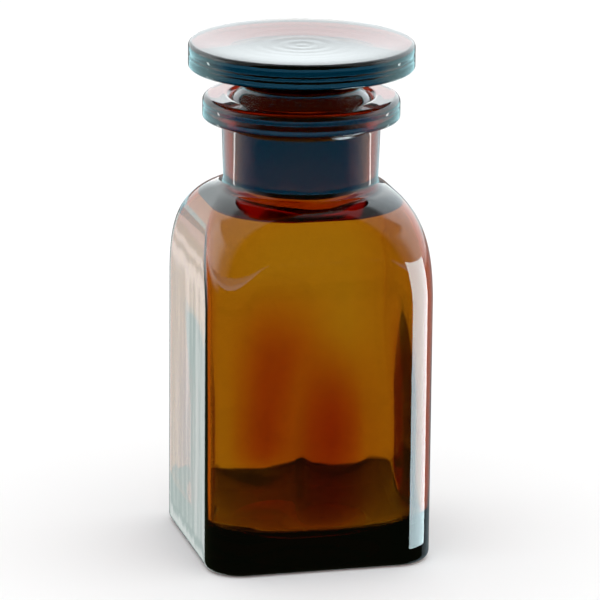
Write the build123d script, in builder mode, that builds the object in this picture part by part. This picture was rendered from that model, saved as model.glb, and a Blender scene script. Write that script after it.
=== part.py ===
"""Square reagent bottle in amber glass with a flat-headed ground-glass stopper.

Frame: millimetres, +Z up, the origin at the centre of the base, on the surface
that the bottle stands on. The flat sides face +X, -X, +Y and -Y.
"""
import os

from build123d import *

# ---- driving dimensions, in millimetres ----

# body: a square prism with rounded upright corners
body_width = 47.0
corner_radius = 7.5
body_height = 54.6
heel_radius = 1.8

# shoulder: the square turns into the round neck on a dome
shoulder_height = 21.2
dome_power = 3.6
dome_root = 1.59
rounding_power = 1.57

# neck and its flat pouring lip
neck_length = 13.3
neck_foot_wall = 2.08
neck_top_wall = 1.81
lip_height = 5.2
lip_overhang = 3.9
lip_edge_round = 1.3
lip_under_round = 0.6
lip_seam_rise = 3.1
seam_width = 0.5
seam_depth = 0.2

# walls
wall = 3.0
floor_thickness = 5.0
inner_corner_radius = 5.5
inner_heel_radius = 3.0
cavity_shoulder_drop = 1.9

# push-up in the middle of the base
punt_radius = 15.0
punt_depth = 1.6

# ground joint, 1 in 10 on the diameter
joint_diameter = 29.2
joint_length = 22.0
joint_taper = 0.1
mouth_chamfer = 0.45
joint_clearance = 0.05

# stopper
plug_depth = 19.9
plug_edge_round = 1.6
plug_top_drop = 1.6
waist_depth = 2.5
waist_rise = 2.0
head_gap = 5.7
head_overhang = 2.9
head_thickness = 5.2
head_seam_rise = 2.9
head_edge_round = 0.9
head_under_round = 0.7
dish_border = 2.5
dish_depth = 0.8
ripple_radii = (3.4, 6.8)
ripple_height = 0.18

# ---- sizes that follow from them ----

shoulder_foot_z = body_height
shoulder_top_z = shoulder_foot_z + shoulder_height
lip_under_z = shoulder_top_z + neck_length
lip_top_z = lip_under_z + lip_height
joint_foot_z = lip_top_z - joint_length
plug_foot_z = lip_top_z - plug_depth
plug_top_z = lip_top_z - plug_top_drop
waist_z = lip_top_z + waist_rise
head_under_z = lip_top_z + head_gap
head_top_z = head_under_z + head_thickness


def bore_radius(z):
    """Radius of the ground bore at height z."""
    return joint_diameter / 2 - joint_taper / 2 * (lip_top_z - z)


def plug_radius(z):
    """Radius of the ground plug at height z, seated in the bore."""
    return bore_radius(z) - joint_clearance


neck_foot_radius = bore_radius(shoulder_top_z) + neck_foot_wall
neck_top_radius = bore_radius(lip_under_z) + neck_top_wall
lip_radius = neck_top_radius + lip_overhang
lip_seam_z = lip_under_z + lip_seam_rise
cavity_half_width = body_width / 2 - wall
cavity_shoulder_foot_z = shoulder_foot_z - cavity_shoulder_drop
waist_radius = plug_radius(plug_top_z) - waist_depth
head_radius = lip_radius + head_overhang
head_seam_z = head_under_z + head_seam_rise
dish_radius = head_radius - dish_border
punt_sphere_radius = (punt_radius**2 + punt_depth**2) / (2 * punt_depth)

# where the shoulder is cut into sections, as shares of its height
section_shares = (0.0, 0.2, 0.36, 0.5, 0.62, 0.72, 0.81, 0.88, 0.94, 0.98, 1.0)

# half of the short flat kept at the middle of each side of the topmost section,
# so that every section has the same eight edges
least_flat = 0.1


def dome_sections(foot_z, top_z, half_width, corner, round_radius):
    """Heights, half widths and corner radii of a dome from a square to a circle.

    The half width falls along a superellipse, and the corners open out almost to
    the full circle by a power of the height.
    """
    sections = []
    for share in section_shares:
        fall = (1 - share**dome_power) ** (1 / dome_root)
        half = round_radius + (half_width - round_radius) * fall
        rounding = corner + (round_radius - corner) * share**rounding_power
        sections.append((foot_z + share * (top_z - foot_z), half, min(rounding, half - least_flat)))
    return sections


# ---- the hollow inside the bottle, as a solid ----

with BuildPart() as hollow:
    with BuildSketch(Plane.XY.offset(floor_thickness)):
        RectangleRounded(2 * cavity_half_width, 2 * cavity_half_width, inner_corner_radius)
    extrude(amount=cavity_shoulder_foot_z - floor_thickness)
    fillet(hollow.faces().sort_by(Axis.Z)[0].edges(), inner_heel_radius)

    # the floor rises in the middle, above the push-up
    with BuildSketch(Plane.XZ):
        with BuildLine():
            Polyline((0, floor_thickness + punt_depth), (0, floor_thickness), (punt_radius, floor_thickness))
            RadiusArc(
                (punt_radius, floor_thickness),
                (0, floor_thickness + punt_depth),
                -punt_sphere_radius,
            )
        make_face()
    revolve(axis=Axis.Z, mode=Mode.SUBTRACT)

    # under the shoulder
    for z, half, rounding in dome_sections(
        cavity_shoulder_foot_z,
        joint_foot_z,
        cavity_half_width,
        inner_corner_radius,
        bore_radius(joint_foot_z),
    ):
        with BuildSketch(Plane.XY.offset(z)):
            RectangleRounded(2 * half, 2 * half, rounding)
    loft()

    # the ground bore, opened by a chamfer at the mouth
    with BuildSketch(Plane.XZ):
        with BuildLine():
            Polyline(
                (0, joint_foot_z),
                (bore_radius(joint_foot_z), joint_foot_z),
                (bore_radius(lip_top_z - mouth_chamfer), lip_top_z - mouth_chamfer),
                (bore_radius(lip_top_z) + mouth_chamfer, lip_top_z),
                (0, lip_top_z),
                close=True,
            )
        make_face()
    revolve(axis=Axis.Z)

# ---- bottle ----

with BuildPart() as bottle:
    with BuildSketch():
        RectangleRounded(body_width, body_width, corner_radius)
    extrude(amount=shoulder_foot_z)
    fillet(bottle.faces().sort_by(Axis.Z)[0].edges(), heel_radius)

    for z, half, rounding in dome_sections(
        shoulder_foot_z, shoulder_top_z, body_width / 2, corner_radius, neck_foot_radius
    ):
        with BuildSketch(Plane.XY.offset(z)):
            RectangleRounded(2 * half, 2 * half, rounding)
    loft()

    # neck and lip, with the fine seam of the mould round the lip's edge
    with BuildSketch(Plane.XZ):
        with BuildLine():
            Polyline(
                (0, shoulder_top_z),
                (neck_foot_radius, shoulder_top_z),
                (neck_top_radius, lip_under_z),
                (lip_radius - lip_under_round, lip_under_z + lip_under_round),
            )
            RadiusArc(
                (lip_radius - lip_under_round, lip_under_z + lip_under_round),
                (lip_radius, lip_under_z + 2 * lip_under_round),
                -2 * lip_under_round,
            )
            Polyline(
                (lip_radius, lip_under_z + 2 * lip_under_round),
                (lip_radius, lip_seam_z - seam_width / 2),
                (lip_radius - seam_depth, lip_seam_z),
                (lip_radius, lip_seam_z + seam_width / 2),
                (lip_radius, lip_top_z - lip_edge_round),
            )
            RadiusArc(
                (lip_radius, lip_top_z - lip_edge_round),
                (lip_radius - lip_edge_round, lip_top_z),
                -lip_edge_round,
            )
            Polyline((lip_radius - lip_edge_round, lip_top_z), (0, lip_top_z), (0, shoulder_top_z))
        make_face()
    revolve(axis=Axis.Z)

    add(hollow.part, mode=Mode.SUBTRACT)

    # push-up under the base
    with BuildSketch(Plane.XZ):
        with BuildLine():
            Polyline((0, punt_depth), (0, 0), (punt_radius, 0))
            RadiusArc(
                (punt_radius, 0),
                (0, punt_depth),
                -punt_sphere_radius,
            )
        make_face()
    revolve(axis=Axis.Z, mode=Mode.SUBTRACT)

# ---- stopper: disc head, waist and ground plug, all one solid piece of glass ----

plug_foot_corner = (plug_radius(plug_foot_z + plug_edge_round), plug_foot_z + plug_edge_round)
plug_foot_edge = (plug_radius(plug_foot_z) - plug_edge_round, plug_foot_z)

with BuildPart() as stopper:
    with BuildSketch(Plane.XZ):
        with BuildLine():
            Polyline(
                (0, head_top_z - dish_depth),
                (0, plug_foot_z),
                plug_foot_edge,
            )
            RadiusArc(plug_foot_edge, plug_foot_corner, -plug_edge_round * 1.05)
            Line(plug_foot_corner, (plug_radius(plug_top_z), plug_top_z))
            Spline(
                (plug_radius(plug_top_z), plug_top_z),
                (waist_radius, waist_z),
                (head_radius - 2 * head_under_round, head_under_z),
                tangents=((0, 1), (1, 0.1)),
            )
            RadiusArc(
                (head_radius - 2 * head_under_round, head_under_z),
                (head_radius, head_under_z + 2 * head_under_round),
                -2 * head_under_round,
            )
            Polyline(
                (head_radius, head_under_z + 2 * head_under_round),
                (head_radius, head_seam_z - seam_width / 2),
                (head_radius - seam_depth, head_seam_z),
                (head_radius, head_seam_z + seam_width / 2),
                (head_radius, head_top_z - head_edge_round),
            )
            RadiusArc(
                (head_radius, head_top_z - head_edge_round),
                (head_radius - head_edge_round, head_top_z),
                -head_edge_round,
            )
            Line((head_radius - head_edge_round, head_top_z), (dish_radius, head_top_z))
            Spline(
                (dish_radius, head_top_z),
                (0, head_top_z - dish_depth),
                tangents=((-1, 0), (-1, 0)),
            )
        make_face()
    revolve(axis=Axis.Z)

    # low rings left on the dished face by pressing
    for ripple_radius in ripple_radii:
        with BuildSketch(Plane.XZ):
            with Locations((ripple_radius, head_top_z - dish_depth)):
                Ellipse(ripple_height * 4, ripple_height * 1.6)
        revolve(axis=Axis.Z)

# ---- write the sub-parts ----

os.makedirs("parts", exist_ok=True)

bottle.part.label = "bottle"
export_step(bottle.part, "parts/bottle.step")

stopper.part.label = "stopper"
export_step(stopper.part, "parts/stopper.step")
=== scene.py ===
"""Square reagent bottle in amber glass: its glass surfaces, materials, studio and camera."""
import math
import bpy
import numpy as np
from mathutils import Matrix


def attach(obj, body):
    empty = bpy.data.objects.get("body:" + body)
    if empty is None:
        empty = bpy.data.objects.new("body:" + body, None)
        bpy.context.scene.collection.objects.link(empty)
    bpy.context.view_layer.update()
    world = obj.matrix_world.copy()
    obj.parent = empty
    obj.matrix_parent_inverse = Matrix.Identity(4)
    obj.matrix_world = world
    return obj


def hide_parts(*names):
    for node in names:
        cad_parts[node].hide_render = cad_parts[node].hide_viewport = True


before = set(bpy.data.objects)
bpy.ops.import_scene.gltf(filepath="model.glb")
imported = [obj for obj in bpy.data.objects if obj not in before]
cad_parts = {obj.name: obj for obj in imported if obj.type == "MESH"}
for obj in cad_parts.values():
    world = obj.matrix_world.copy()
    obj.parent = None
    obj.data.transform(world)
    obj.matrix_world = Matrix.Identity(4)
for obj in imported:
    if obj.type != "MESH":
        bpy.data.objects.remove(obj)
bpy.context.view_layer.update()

MM = 0.001

# ---- sizes, in millimetres, the same as the CAD model's ----

BODY_HALF = 23.5
BODY_CORNER = 7.5
HEEL = 1.8
SHOULDER_FOOT = 54.6
SHOULDER_TOP = 75.8
DOME_POWER = 3.6
DOME_ROOT = 1.59
ROUNDING_POWER = 1.57
PUNT_RADIUS = 15.0
PUNT_DEPTH = 1.6

JOINT_DIAMETER = 29.2
JOINT_TAPER = 0.1
JOINT_LENGTH = 22.0
JOINT_CLEARANCE = 0.05
MOUTH_CHAMFER = 0.45
MOUTH_CHAMFER_DEPTH = 0.5
MOUTH_STEP = 0.1
MOUTH_FLAT = 0.6

NECK_FOOT = 15.75
NECK_TOP = 16.15
NECK_FLARE = 1.25
LIP_UNDER = 89.1
LIP_TOP = 94.3
LIP_RADIUS = 20.05
LIP_EDGE = 1.3
LIP_UNDER_EDGE = 0.6
LIP_SEAM = 92.2

CAVITY_HALF = 22.0
CAVITY_CORNER = 6.4
BOWL_DEPTH = 5.0
FLOOR = 4.6
WALL_BULGE = 2.6
WALL_WAVE = 0.02
BULGE_RISE = 10.0
BULGE_FALL = 24.0
BULGE_TOP = 52.6

PLUG_FOOT = 74.4
PLUG_TOP = 92.7
PLUG_EDGE = 1.6
WAIST_RADIUS = 12.0
WAIST_HEIGHT = 96.3
HEAD_UNDER = 100.0
HEAD_TOP = 105.2
HEAD_RADIUS = 22.95
HEAD_EDGE = 0.9
HEAD_UNDER_EDGE = 0.7
HEAD_SEAM = 102.9
HEAD_SECOND_SEAM = 102.0
PLUG_FOOT_STEP = 0.08
PLUG_FOOT_RISE = 0.3
DISH_RADIUS = 20.4
DISH_DEPTH = 0.8
RIPPLE_PITCH = 3.4
RIPPLE_HEIGHT = 0.03
RIPPLE_REACH = 9.0

SEAM_DEPTH = 0.2
SEAM_WIDTH = 0.5


def bore_radius(z):
    """Radius of the ground cone at height z."""
    return JOINT_DIAMETER / 2 - JOINT_TAPER / 2 * (LIP_TOP - z)


# ---- profiles ----

def stations(*pieces):
    """Joins pieces of a profile, each an (n, k) array, leaving out points met twice."""
    rows = [pieces[0]]
    for piece in pieces[1:]:
        start = 1 if np.allclose(piece[0], rows[-1][-1], atol=1e-6) else 0
        rows.append(piece[start:])
    return np.concatenate(rows)


def straight(start, end, count):
    """Points from start to end at even steps."""
    t = np.linspace(0, 1, count)[:, None]
    return np.array(start, float) * (1 - t) + np.array(end, float) * t


def turn(centre, radius, start_deg, end_deg, count):
    """Points of a circular arc in the profile plane: centre + radius (cos a, sin a)."""
    a = np.radians(np.linspace(start_deg, end_deg, count))
    return np.stack([centre[0] + radius * np.cos(a), centre[1] + radius * np.sin(a)], 1)


def groove(radius, z, depth=SEAM_DEPTH):
    """A fine vee groove cut into an upright wall at height z."""
    return np.array([
        [radius, z - SEAM_WIDTH / 2],
        [radius - depth, z],
        [radius, z + SEAM_WIDTH / 2],
    ])


def round_rows(profile):
    """(radius, z) rows as (half width, corner radius, z) rows of a circle."""
    return np.stack([profile[:, 0], profile[:, 0], profile[:, 1]], 1)


def dome_rows(foot, top, half, corner, round_radius, count):
    """Rows of the shoulder: the half width falls along a superellipse while the corner
    radius grows by a power of the height, until the section is a circle."""
    s = np.sin(np.linspace(0, math.pi / 2, count))
    fall = np.clip(1 - s ** DOME_POWER, 0, 1) ** (1 / DOME_ROOT)
    widths = round_radius + (half - round_radius) * fall
    corners = corner + (round_radius - corner) * s ** ROUNDING_POWER
    return np.stack([widths, np.minimum(corners, widths), foot + s * (top - foot)], 1)


def flared(dome, reach, count):
    """Ends a dome in a hollow curve: an arc that leaves the dome along its slope where it is
    reach wider than its top, and turns upright at the width of the top."""
    kept = dome[dome[:, 0] > dome[-1, 0] + reach]
    across, _, up = kept[-1] - kept[-2]
    a = np.linspace(math.atan2(up, -across), math.pi / 2, count)
    radius = (kept[-1, 0] - dome[-1, 0]) / (1 - math.sin(a[0]))
    centre = (dome[-1, 0] + radius, kept[-1, 2] + radius * math.cos(a[0]))
    widths, heights = centre[0] - radius * np.sin(a), centre[1] - radius * np.cos(a)
    share = (kept[-1, 0] - widths) / (kept[-1, 0] - dome[-1, 0])
    corners = kept[-1, 1] + (dome[-1, 0] - kept[-1, 1]) * share
    return np.concatenate([kept, np.stack([widths, np.minimum(corners, widths), heights], 1)[1:]])


def inset(rows, depth, corner_depth):
    """Rows moved into the glass by depth, square to the profile. The corner radius shrinks by
    corner_depth where the profile is upright, and less where it leans."""
    across, up = np.gradient(rows[:, 0]), np.gradient(rows[:, 2])
    length = np.hypot(across, up)
    widths = rows[:, 0] - depth * up / length
    corners = np.minimum(rows[:, 1] - corner_depth * up / length, widths)
    return np.stack([widths, corners, rows[:, 2] + depth * across / length], 1)


def heel_rows(half, corner, low_corner, z, radius, start_deg, end_deg):
    """A rounded heel: the half width follows an arc while the corner radius goes from
    corner, where the wall is upright, to low_corner, where the floor is level."""
    a = np.radians(np.linspace(start_deg, end_deg, 13))
    corners = low_corner + (corner - low_corner) * np.cos(a)
    return np.stack([half - radius + radius * np.cos(a), corners, z + radius + radius * np.sin(a)], 1)


def bowl_rows(half, corner, z, depth, count):
    """A bowl under a rounded square: the half width shrinks as half cos(a) ^ 0.8, down to a
    point, while the height falls by depth sin(a) and the plan turns round."""
    a = np.linspace(0, math.pi / 2, count)
    widths = half * np.cos(a) ** 0.8
    corners = widths * (corner / half + (1 - corner / half) * np.sin(a) ** 0.7)
    return np.stack([widths, corners, z + depth * (1 - np.sin(a))], 1)


def cap_rows(z, rise, count):
    """A shallow spherical rise in the middle of a level face: z + rise (1 - (r / R)^2)."""
    r = np.linspace(0, PUNT_RADIUS, count)
    return round_rows(np.stack([r, z + rise * (1 - (r / PUNT_RADIUS) ** 2)], 1))


# ---- surfaces ----

def around(count, crowding):
    """Angles round the axis, closer together at the four corners: u + crowding / 4 sin 4u."""
    u = np.arange(count) * 2 * math.pi / count
    return u + crowding / 4 * np.sin(4 * u)


def rounded_square(half, corner, angle):
    """Distance from the axis to the side of a rounded square at each angle: half / cos
    on a flat, and on a corner the far root of the corner circle's equation."""
    folded = np.abs((angle + math.pi / 4) % (math.pi / 2) - math.pi / 4)
    cos, sin = np.cos(folded), np.sin(folded)
    inset = half - corner
    along = inset * (cos + sin)
    on_corner = along + np.sqrt(np.maximum(along ** 2 - 2 * inset ** 2 + corner ** 2, 0))
    return np.where(half * sin <= inset * cos, half / np.maximum(cos, 1e-9), on_corner)


def spread(rows, angle):
    """The distances and heights of rows of (half width, corner radius, z), at each angle."""
    half, corner, z = (rows[:, k][:, None] for k in range(3))
    return rounded_square(half, corner, angle[None, :]), z + 0 * angle[None, :]


def skin(name, distance, z, angle):
    """A closed surface: point (i, j) is at angle j, at distance (i, j) from the axis and at
    height z (i, j). The first and last rows are single points on the axis. Rows run up the
    outside, and down the inside of a hollow piece, so that faces point out of the glass."""
    count = len(angle)
    grid = np.stack([distance * np.cos(angle), distance * np.sin(angle), z], 2)[1:-1]
    ends = [[[0, 0, z[0, 0]]], [[0, 0, z[-1, 0]]]]
    points = np.concatenate([ends[0], grid.reshape(-1, 3), ends[1]])
    n = len(grid)
    i, j = np.meshgrid(np.arange(n - 1), np.arange(count), indexing="ij")
    k = (j + 1) % count
    below = i * count
    above = below + count
    quads = 1 + np.stack([below + j, below + k, above + k, above + j], 2)
    ring = np.arange(count)
    first = np.stack([0 * ring, 1 + (ring + 1) % count, 1 + ring], 1)
    last_row = 1 + (n - 1) * count
    last = np.stack([0 * ring + len(points) - 1, last_row + ring, last_row + (ring + 1) % count], 1)
    mesh = bpy.data.meshes.new(name)
    faces = quads.reshape(-1, 4).tolist() + first.tolist() + last.tolist()
    mesh.from_pydata((points * MM).tolist(), [], faces)
    mesh.shade_smooth()
    mesh.update()
    obj = bpy.data.objects.new(name, mesh)
    bpy.context.scene.collection.objects.link(obj)
    return obj


def bottle_outside():
    """Rows of the bottle's outer skin, from the middle of the base up to the mouth."""
    dome = dome_rows(SHOULDER_FOOT, SHOULDER_TOP, BODY_HALF, BODY_CORNER, NECK_FOOT, 70)
    dome = flared(dome, NECK_FLARE, 12)
    heel = heel_rows(BODY_HALF, BODY_CORNER, BODY_CORNER - HEEL, 0, HEEL, -90, 0)
    under_edge = (LIP_RADIUS - LIP_UNDER_EDGE, LIP_UNDER + LIP_UNDER_EDGE)
    under_turn = (under_edge[0], under_edge[1] + LIP_UNDER_EDGE)
    top_turn = (LIP_RADIUS - LIP_EDGE, LIP_TOP - LIP_EDGE)
    mouth = bore_radius(LIP_TOP) + MOUTH_FLAT
    return stations(
        cap_rows(0, PUNT_DEPTH, 16),
        straight((PUNT_RADIUS, PUNT_RADIUS, 0), heel[0], 8),
        heel,
        straight(heel[-1], (BODY_HALF, BODY_CORNER, SHOULDER_FOOT), 16),
        dome,
        round_rows(straight((NECK_FOOT, dome[-1, 2]), (NECK_TOP, LIP_UNDER), 10)),
        round_rows(straight((NECK_TOP, LIP_UNDER), under_edge, 8)),
        round_rows(turn(under_turn, LIP_UNDER_EDGE, -90, 0, 7)),
        round_rows(groove(LIP_RADIUS, LIP_SEAM)),
        round_rows(turn(top_turn, LIP_EDGE, 0, 90, 10)),
        round_rows(straight((LIP_RADIUS - LIP_EDGE, LIP_TOP), (mouth, LIP_TOP), 8)),
    )


def bottle_inside():
    """Rows of the bottle's inner skin, from the mouth down the ground bore, along the inner
    shoulder, which is parallel to the outer one, and down to the middle of the floor."""
    mouth = bore_radius(LIP_TOP) + MOUTH_CHAMFER
    foot = LIP_TOP - JOINT_LENGTH
    bore_foot = (bore_radius(foot), foot)
    bore_top = (bore_radius(LIP_TOP - MOUTH_CHAMFER_DEPTH), LIP_TOP - MOUTH_CHAMFER_DEPTH)
    bowl = bowl_rows(CAVITY_HALF, CAVITY_CORNER, FLOOR, BOWL_DEPTH, 48)
    dome = dome_rows(SHOULDER_FOOT, SHOULDER_TOP, BODY_HALF, BODY_CORNER, NECK_FOOT, 70)
    dome = inset(dome, BODY_HALF - CAVITY_HALF, BODY_CORNER - CAVITY_CORNER)
    dome = dome[dome[:, 2] < foot]
    ceiling = straight(dome[-1], (bore_foot[0], bore_foot[0], foot), 8)
    return stations(
        round_rows(straight((mouth, LIP_TOP - MOUTH_STEP), bore_top, 4)),
        round_rows(straight(bore_top, bore_foot, 12)),
        ceiling[::-1],
        dome[::-1],
        straight(dome[0], bowl[0], 34),
        bowl,
    )


def smooth(t):
    """0 below 0, 1 above 1 and t t (3 - 2 t) between."""
    t = np.clip(t, 0, 1)
    return t * t * (3 - 2 * t)


def thickening(angle, z):
    """How far the cavity's wall stands in: most in the middle of each flat side, by
    WALL_BULGE ((1 + cos 4a) / 2) ^ 1.5, and by faint upright waves of uneven width. It
    fades out at the floor and below the shoulder."""
    middle = ((1 + np.cos(4 * angle)) / 2) ** 1.5
    height = smooth((z - FLOOR) / BULGE_RISE) * smooth((BULGE_TOP - z) / BULGE_FALL)
    waves = np.sin(11 * angle + z / 40) + np.sin(17 * angle - z / 25 + 1) + np.sin(29 * angle + 2)
    return (WALL_BULGE * middle + WALL_WAVE * waves) * height


def make_bottle():
    """The bottle: its outer and inner rows spread round the axis as one closed skin."""
    angle = around(280, 0.5)
    outside, outside_z = spread(bottle_outside(), angle)
    inside, inside_z = spread(bottle_inside(), angle)
    inside = np.maximum(inside - thickening(angle[None, :], inside_z), 0)
    distance = np.concatenate([outside, inside])
    return skin("bottle_glass", distance, np.concatenate([outside_z, inside_z]), angle)


def head_dish():
    """The top of the head, from its edge to its middle: a hollow of depth
    DISH_DEPTH (1 - (r / R)^2) ^ 1.5, with rings that die away from the middle,
    RIPPLE_HEIGHT cos(2 pi r / RIPPLE_PITCH) exp(-(r / RIPPLE_REACH)^2)."""
    share = np.linspace(1, 0, 60)
    r = DISH_RADIUS * share
    fade = np.exp(-(r / RIPPLE_REACH) ** 2)
    rings = RIPPLE_HEIGHT * np.cos(2 * math.pi * r / RIPPLE_PITCH) * fade
    return np.stack([r, HEAD_TOP - DISH_DEPTH * (1 - share ** 2) ** 1.5 + rings], 1)


def make_stopper():
    """The stopper: a profile of plug, waist and head turned round the axis. The lower waist
    is half a cosine wave, and the upper waist is a quarter of an ellipse."""
    foot_radius = bore_radius(PLUG_FOOT) - JOINT_CLEARANCE
    plug_top = bore_radius(PLUG_TOP) - JOINT_CLEARANCE
    head_in = HEAD_RADIUS - 2 * HEAD_UNDER_EDGE
    cone_foot = (foot_radius + PLUG_FOOT_STEP, PLUG_FOOT + PLUG_EDGE + PLUG_FOOT_RISE)
    s = np.linspace(0, 1, 20)
    lower_waist = np.stack([
        plug_top + (WAIST_RADIUS - plug_top) * (1 - np.cos(math.pi * s)) / 2,
        PLUG_TOP + (WAIST_HEIGHT - PLUG_TOP) * s,
    ], 1)
    a = np.radians(np.linspace(180, 95, 24))
    upper_waist = np.stack([
        head_in + (head_in - WAIST_RADIUS) * np.cos(a),
        WAIST_HEIGHT + (HEAD_UNDER - WAIST_HEIGHT) * np.sin(a),
    ], 1)
    under_turn = (HEAD_RADIUS - HEAD_UNDER_EDGE, HEAD_UNDER + HEAD_UNDER_EDGE)
    profile = stations(
        straight((0, PLUG_FOOT), (foot_radius - PLUG_EDGE, PLUG_FOOT), 8),
        turn((foot_radius - PLUG_EDGE, PLUG_FOOT + PLUG_EDGE), PLUG_EDGE, -90, 0, 10),
        straight(cone_foot, (plug_top, PLUG_TOP), 24),
        lower_waist,
        upper_waist,
        turn(under_turn, HEAD_UNDER_EDGE, -80, 0, 8),
        groove(HEAD_RADIUS, HEAD_SECOND_SEAM, SEAM_DEPTH / 2),
        groove(HEAD_RADIUS, HEAD_SEAM),
        turn((HEAD_RADIUS - HEAD_EDGE, HEAD_TOP - HEAD_EDGE), HEAD_EDGE, 0, 90, 10),
        head_dish(),
    )
    angle = around(256, 0.0)
    return skin("stopper_glass", *spread(round_rows(profile), angle), angle)


# ---- materials ----

GROUND_ROUGHNESS = 0.12
GROUND_RADII = (12.6, 15.0)
WAVE_STRETCH = 0.12
WAVE_SCALE = 170
PEEL_SCALE = 240
PEEL_SHARE = 0.15

BOTTLE_TINT = (0.75, 1.0, 0.5)
BOTTLE_ABSORPTION = (0.14, 0.62, 1.5)
STOPPER_TINT = (1, 1, 1)
STOPPER_ABSORPTION = (0.2, 0.6, 1.6)


def between(tree, socket, low, high, soft):
    """1 where a value lies between low and high, fading to 0 over soft beyond each."""
    amounts = []
    for start, end in ((low - soft, low), (high + soft, high)):
        node = tree.nodes.new("ShaderNodeMapRange")
        node.interpolation_type = "SMOOTHSTEP"
        node.inputs["From Min"].default_value = min(start, end)
        node.inputs["From Max"].default_value = max(start, end)
        node.inputs["To Min"].default_value = 0 if start < end else 1
        node.inputs["To Max"].default_value = 1 if start < end else 0
        tree.links.new(socket, node.inputs["Value"])
        amounts.append(node.outputs["Result"])
    return math_node(tree, "MULTIPLY", *amounts)


def math_node(tree, operation, *terms):
    """The result of a Math node, on sockets and plain numbers."""
    node = tree.nodes.new("ShaderNodeMath")
    node.operation = operation
    for index, term in enumerate(terms):
        if isinstance(term, (int, float)):
            node.inputs[index].default_value = term
        else:
            tree.links.new(term, node.inputs[index])
    return node.outputs[0]


def glass(name, tint, absorption, ground, wave_height):
    """Amber glass. Its colour comes from absorption per millimetre in the volume, and a
    little from a tint at each surface. The conical joint, between the two heights of
    ground, is frosted by grinding. Long upright waves and a fine orange peel, both from
    noise on object coordinates, bend the light a little as pressed glass does."""
    material = bpy.data.materials.new(name)
    material.use_nodes = True
    tree = material.node_tree
    nodes, links = tree.nodes, tree.links
    nodes.clear()
    output = nodes.new("ShaderNodeOutputMaterial")
    surface = nodes.new("ShaderNodeBsdfPrincipled")
    surface.inputs["Base Color"].default_value = (*tint, 1)
    surface.inputs["Transmission Weight"].default_value = 1
    surface.inputs["IOR"].default_value = 1.52

    place = nodes.new("ShaderNodeTexCoord").outputs["Object"]
    split = nodes.new("ShaderNodeSeparateXYZ")
    links.new(place, split.inputs[0])
    radius = nodes.new("ShaderNodeVectorMath")
    radius.operation = "LENGTH"
    flat = nodes.new("ShaderNodeCombineXYZ")
    links.new(split.outputs["X"], flat.inputs["X"])
    links.new(split.outputs["Y"], flat.inputs["Y"])
    links.new(flat.outputs[0], radius.inputs[0])
    in_height = between(tree, split.outputs["Z"], ground[0] * MM, ground[1] * MM, 0.4 * MM)
    low, high = (limit * MM for limit in GROUND_RADII)
    in_radius = between(tree, radius.outputs["Value"], low, high, 0.3 * MM)
    frost = math_node(tree, "MULTIPLY", in_height, in_radius)
    links.new(math_node(tree, "MULTIPLY", frost, GROUND_ROUGHNESS), surface.inputs["Roughness"])

    stretch = nodes.new("ShaderNodeMapping")
    stretch.inputs["Scale"].default_value = (1, 1, WAVE_STRETCH)
    links.new(place, stretch.inputs["Vector"])
    long_waves = nodes.new("ShaderNodeTexNoise")
    long_waves.inputs["Scale"].default_value = WAVE_SCALE
    long_waves.inputs["Detail"].default_value = 1.5
    links.new(stretch.outputs["Vector"], long_waves.inputs["Vector"])
    peel = nodes.new("ShaderNodeTexNoise")
    peel.inputs["Scale"].default_value = PEEL_SCALE
    links.new(place, peel.inputs["Vector"])
    relief = math_node(tree, "MULTIPLY_ADD", peel.outputs["Fac"], PEEL_SHARE, long_waves.outputs["Fac"])
    bump = nodes.new("ShaderNodeBump")
    bump.inputs["Strength"].default_value = 1.0
    bump.inputs["Distance"].default_value = wave_height * MM
    links.new(relief, bump.inputs["Height"])
    links.new(bump.outputs["Normal"], surface.inputs["Normal"])

    volume = nodes.new("ShaderNodeVolumeAbsorption")
    density = max(absorption) * 1.02
    volume.inputs["Color"].default_value = (*(1 - a / density for a in absorption), 1)
    volume.inputs["Density"].default_value = density / MM
    links.new(surface.outputs["BSDF"], output.inputs["Surface"])
    links.new(volume.outputs["Volume"], output.inputs["Volume"])
    return material


# ---- studio ----

CAMERA_AZIMUTH = math.radians(14.234)

# the floor, and what the glass shows of it, with its painted shade
FLOOR_POINTS = [(-3, -3, 0), (3, -3, 0), (3, 3, 0), (-3, 3, 0)]
PALE = (0.9, 0.9, 0.9)
PAINTED_SHADE = (0.01, 0.01, 0.01)
# a painted contact shadow under and round the bottle, on the floor the glass shows
CONTACT_SHADOW_RADIUS = 36
CONTACT_SHADOW_SOFT = 16

# the ring of light round the shoulder, in metres
RING_HEIGHT = 0.065
RING_RADII = (0.045, 5.0)
RING_STRIP = (6.0, 7.0, 7.0)

# the card round the corner, in millimetres and degrees
CARD_REACH = 20.0
CARD_ARC = (44.2, 98.3)
CARD_HEIGHTS = (-1.0, 66.0)
CARD_LIGHT = (7.8, 10.0, 10.6, 1)


def toward(azimuth_deg, elevation_deg):
    """Unit vector at an azimuth, in degrees to the right of the camera as seen from the
    object, and an elevation. Azimuth 0 points at the camera, and 180 straight behind."""
    a = CAMERA_AZIMUTH - math.radians(azimuth_deg)
    e = math.radians(elevation_deg)
    return (-math.sin(a) * math.cos(e), -math.cos(a) * math.cos(e), math.sin(e))


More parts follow.
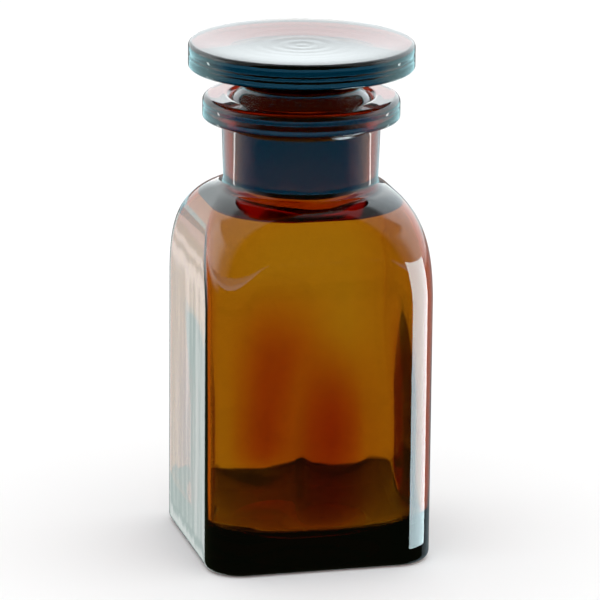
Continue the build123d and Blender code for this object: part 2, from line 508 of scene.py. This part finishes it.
class Panels:
    """A colour built as a stack of soft-edged panels on a base colour. A panel has an azimuth
    round the object and limits on a second measure: the elevation in degrees on the sky, or
    the distance from the object's axis in millimetres on the floor."""

    def __init__(self, tree, on_floor, base):
        self.tree = tree
        coordinates = tree.nodes.new("ShaderNodeTexCoord")
        place = coordinates.outputs["Object" if on_floor else "Generated"]
        ahead = self.dot(place, toward(0, 0))
        aside = self.dot(place, toward(90, 0))
        self.azimuth = self.math("ARCTAN2", aside, ahead)
        if on_floor:
            squares = [self.math("MULTIPLY", term, term) for term in (ahead, aside)]
            self.measure = self.math("SQRT", self.math("ADD", *squares))
            self.unit = MM
        else:
            self.measure = self.math("ARCSINE", self.dot(place, (0, 0, 1)))
            self.unit = math.radians(1)
        rgb = tree.nodes.new("ShaderNodeRGB")
        rgb.outputs[0].default_value = (*base, 1)
        self.colour = rgb.outputs[0]

    def dot(self, socket, vector):
        node = self.tree.nodes.new("ShaderNodeVectorMath")
        node.operation = "DOT_PRODUCT"
        self.tree.links.new(socket, node.inputs[0])
        node.inputs[1].default_value = vector
        return node.outputs["Value"]

    def math(self, operation, *terms):
        return math_node(self.tree, operation, *terms)

    def add(self, azimuths, limits, colour, soft=(3, 3)):
        """Lays a panel between two azimuths, the second to the right of the first, and
        between two limits of the other measure, fading out over the two soft widths."""
        middle, half = sum(azimuths) / 2, (azimuths[1] - azimuths[0]) / 2
        turned = self.math("SUBTRACT", self.azimuth, math.radians(middle))
        off = self.math("ABSOLUTE", self.math("WRAP", turned, math.pi, -math.pi))
        inside = between(self.tree, off, -1, math.radians(half), math.radians(soft[0]))
        low, high = (limit * self.unit for limit in limits)
        within = between(self.tree, self.measure, low, high, soft[1] * self.unit)
        amount = self.math("MULTIPLY", inside, within)
        mix = self.tree.nodes.new("ShaderNodeMix")
        mix.data_type = "RGBA"
        self.tree.links.new(amount, mix.inputs[0])
        self.tree.links.new(self.colour, mix.inputs[6])
        mix.inputs[7].default_value = (*colour, 1)
        self.colour = mix.outputs[2]


def sky():
    """The light: one colour for what lights the floor and shines through the glass, and
    another for what the outer surfaces mirror."""
    world = bpy.data.worlds.new("studio")
    bpy.context.scene.world = world
    world.use_nodes = True
    tree = world.node_tree
    tree.nodes.clear()

    # through the glass, and on the floor
    light = Panels(tree, False, (1.0, 1.0, 1.0))
    light.add((-180, 180), (50, 90), (1.35, 1.35, 1.35), soft=(1, 20))

    # in the mirror of the outer surfaces: behind, and at both sides of the back
    cards = Panels(tree, False, (0.03, 0.04, 0.02))
    cards.add((70, 290), (8, 90), (0.5, 0.53, 0.53), soft=(25, 8))
    cards.add((100, 260), (0, 32), (2.1, 2.25, 2.3), soft=(30, 6))
    cards.add((-165, -130), (-8, 45), (1.5, 1.62, 1.65), soft=(8, 8))
    cards.add((120, 160), (-8, 45), (1.9, 2.1, 2.2), soft=(8, 8))
    # below the horizon, which only the upright faces and the corners mirror
    cards.add((112, 158), (-60, -4), (0.35, 0.45, 0.5), soft=(8, 4))
    cards.add((158, 202), (-60, -3), (0.27, 0.29, 0.29))
    cards.add((-161, -149), (-60, -8), (1.2, 1.42, 1.36), soft=(1, 2))
    for azimuth in (-154.2, -152.4, -150.6):
        cards.add((azimuth - 0.2, azimuth + 0.2), (-60, -8), (1.8, 1.95, 1.9), soft=(0.6, 2))

    # a ray refracted by the glass counts as glossy too, so it is taken off again
    path = tree.nodes.new("ShaderNodeLightPath")
    kinds = (path.outputs["Is Glossy Ray"], path.outputs["Is Transmission Ray"])
    mirrored = math_node(tree, "SUBTRACT", *kinds)
    mirrored.node.use_clamp = True
    mix = tree.nodes.new("ShaderNodeMix")
    mix.data_type = "RGBA"
    background = tree.nodes.new("ShaderNodeBackground")
    output = tree.nodes.new("ShaderNodeOutputWorld")
    tree.links.new(mirrored, mix.inputs[0])
    tree.links.new(light.colour, mix.inputs[6])
    tree.links.new(cards.colour, mix.inputs[7])
    tree.links.new(mix.outputs[2], background.inputs["Color"])
    tree.links.new(background.outputs["Background"], output.inputs["Surface"])


def stage_piece(name, points, faces, material, seen_by):
    """A piece of the studio that only some kinds of ray meet."""
    mesh = bpy.data.meshes.new(name)
    mesh.from_pydata(points, [], faces)
    mesh.materials.append(material)
    obj = bpy.data.objects.new(name, mesh)
    bpy.context.scene.collection.objects.link(obj)
    for kind in ("camera", "diffuse", "glossy", "transmission", "volume_scatter", "shadow"):
        setattr(obj, "visible_" + kind, kind in seen_by)


def matt(name):
    """A plain pale material without gloss."""
    material = bpy.data.materials.new(name)
    material.use_nodes = True
    shader = material.node_tree.nodes["Principled BSDF"]
    shader.inputs["Base Color"].default_value = (*PALE, 1)
    shader.inputs["Roughness"].default_value = 1.0
    shader.inputs["Specular IOR Level"].default_value = 0.0
    return material


def glowing(name):
    """A material that only gives off light, and its Emission node."""
    material = bpy.data.materials.new(name)
    material.use_nodes = True
    tree = material.node_tree
    tree.nodes.clear()
    light = tree.nodes.new("ShaderNodeEmission")
    output = tree.nodes.new("ShaderNodeOutputMaterial")
    tree.links.new(light.outputs["Emission"], output.inputs["Surface"])
    return material, light


def floors():
    """A plain pale floor, and the same floor as the glass shows it, with painted shade: a painted
    contact shadow where the bottle stands on it, and a painted dark belt in front that only the
    faces of the ground joint mirror."""
    stage_piece("floor", FLOOR_POINTS, [(0, 1, 2, 3)], matt("floor"), ("camera", "diffuse"))
    through_glass = matt("floor_through_glass")
    tree = through_glass.node_tree
    colours = Panels(tree, True, PALE)
    # painted shade: a dark belt in front, on the floor that only the glass sees, to darken the ground
    # joint
    colours.add((-70, 70), (240, 320), PAINTED_SHADE, soft=(20, 10))
    # painted contact shadow: dark round the axis, fading out beyond the bottle's foot
    colours.add((-180, 180), (0, CONTACT_SHADOW_RADIUS), PAINTED_SHADE, soft=(1, CONTACT_SHADOW_SOFT))
    tree.links.new(colours.colour, tree.nodes["Principled BSDF"].inputs["Base Color"])
    stage_piece("floor_through_glass", FLOOR_POINTS, [(0, 1, 2, 3)], through_glass, ("transmission",))


def ring_cards():
    """A level ring of light round the shoulder, met only by mirrored rays. The neck and the
    rims see it from above. The body, below it, sees the cards in the sky."""
    material, light = glowing("ring_cards")
    tree = material.node_tree
    colours = Panels(tree, True, (1.15, 1.95, 2.1))
    colours.add((-180, 180), (0, 100), (0.8, 1.2, 1.3), soft=(1, 10))
    colours.add((-62, 62), (0, 5000), (0.2, 0.95, 1.6), soft=(40, 3))
    colours.add((-62, 62), (0, 100), (0.0, 0.4, 0.8), soft=(40, 10))
    colours.add((160, 200), (0, 5000), (0.27, 0.29, 0.29), soft=(10, 3))
    for azimuths in ((-106, -104), (112, 114)):
        colours.add(azimuths, (0, 100), RING_STRIP, soft=(1.5, 3))
    tree.links.new(colours.colour, light.inputs["Color"])

    count = 96
    a = np.arange(count) * 2 * math.pi / count
    rings = [np.stack([r * np.cos(a), r * np.sin(a), 0 * a + RING_HEIGHT], 1) for r in RING_RADII]
    i = np.arange(count)
    k = (i + 1) % count
    faces = np.stack([i, i + count, k + count, k], 1)
    stage_piece("ring_cards", np.concatenate(rings).tolist(), faces.tolist(), material, ("glossy",))


def corner_card():
    """A narrow bowed sheet of light round the front corner on the right, met only by mirrored
    rays: points at CARD_REACH from the corner's own axis, over an arc of azimuths."""
    material, light = glowing("corner_card")
    light.inputs["Color"].default_value = CARD_LIGHT
    arc = CAMERA_AZIMUTH - np.radians(np.linspace(*CARD_ARC, 24))
    axis = (BODY_HALF - BODY_CORNER) * MM
    across = axis - CARD_REACH * MM * np.sin(arc)
    along = -axis - CARD_REACH * MM * np.cos(arc)
    rows = [np.stack([across, along, 0 * arc + z * MM], 1) for z in CARD_HEIGHTS]
    i = np.arange(len(arc) - 1)
    faces = np.stack([i, i + 1, i + 1 + len(arc), i + len(arc)], 1)
    stage_piece("corner_card", np.concatenate(rows).tolist(), faces.tolist(), material, ("glossy",))


def camera():
    """The camera: in front, a little to the left and above, turned down on to the bottle."""
    data = bpy.data.cameras.new("camera")
    data.sensor_width = 36
    data.lens = 276.66
    data.clip_end = 20
    obj = bpy.data.objects.new("camera", data)
    azimuth = CAMERA_AZIMUTH
    tilt = math.radians(15.45)
    roll = math.radians(0.53)
    distance, height = 0.9092, 0.3024
    aside = 0.0001
    obj.location = (
        -distance * math.sin(azimuth) + aside * math.cos(azimuth),
        -distance * math.cos(azimuth) - aside * math.sin(azimuth),
        height,
    )
    turned = Matrix.Rotation(-azimuth, 3, "Z") @ Matrix.Rotation(math.pi / 2 - tilt, 3, "X")
    obj.rotation_euler = (turned @ Matrix.Rotation(roll, 3, "Z")).to_euler()
    bpy.context.scene.collection.objects.link(obj)
    bpy.context.scene.camera = obj


bottle = make_bottle()
ground_bore = (LIP_TOP - JOINT_LENGTH, LIP_TOP)
amber = glass("amber_glass", BOTTLE_TINT, BOTTLE_ABSORPTION, ground_bore, 0.02)
bottle.data.materials.append(amber)

stopper = make_stopper()
ground_plug = (PLUG_FOOT + PLUG_EDGE, PLUG_TOP)
darker = glass("amber_stopper_glass", STOPPER_TINT, STOPPER_ABSORPTION, ground_plug, 0.01)
stopper.data.materials.append(darker)

for piece, node in ((bottle, "bottle"), (stopper, "stopper")):
    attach(piece, node)
    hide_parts(node)

sky()
floors()
ring_cards()
corner_card()
camera()

scene = bpy.context.scene
scene.view_settings.view_transform = "Standard"
scene.cycles.max_bounces = 32
scene.cycles.transmission_bounces = 32
scene.cycles.glossy_bounces = 16
